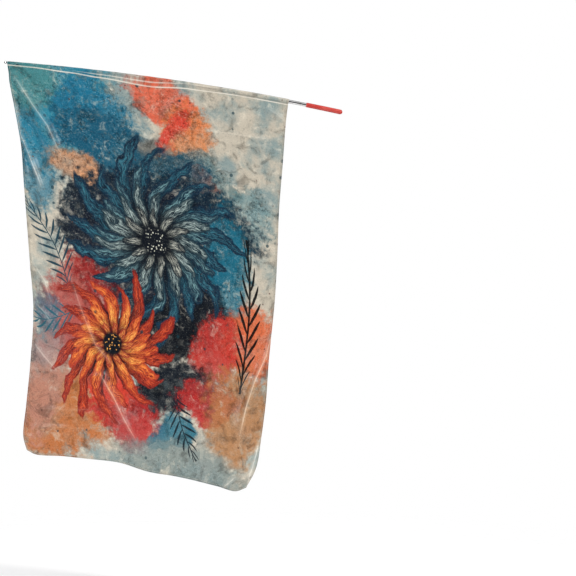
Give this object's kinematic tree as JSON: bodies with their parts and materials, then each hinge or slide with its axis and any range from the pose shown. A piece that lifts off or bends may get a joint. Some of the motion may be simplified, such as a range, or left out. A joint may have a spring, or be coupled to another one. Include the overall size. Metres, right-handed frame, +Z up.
{
  "type": "worship flag on telescopic pole",
  "caption": "Large printed cloth flag hanging by its sewn sleeve on a slim drawn-out telescopic pole with a soft hand grip.",
  "frame": {"origin": "middle of the grip, on the pole's axis, where a hand holds it", "axes": "+X along the flag towards the grip, +Y away from the viewer through the cloth, +Z up"},
  "size_m": [1.1903, 0.0557, 1.5138],
  "materials": {
    "cloth_print": "thin, slightly glossy woven polyester with a watercolour-like print in teal, navy, orange and red on beige grey",
    "pole_steel": "polished stainless steel tubes",
    "grip_rubber": "matt coral red soft rubber"
  },
  "bodies": {
    "root": {"flag_cloth": "cloth_print", "pole_tube_1": "pole_steel", "pole_tube_2": "pole_steel", "pole_tube_3": "pole_steel", "pole_tube_4": "pole_steel", "pole_tube_5": "pole_steel", "pole_ball": "pole_steel", "pole_grip": "grip_rubber"}
  },
  "joints": []
}
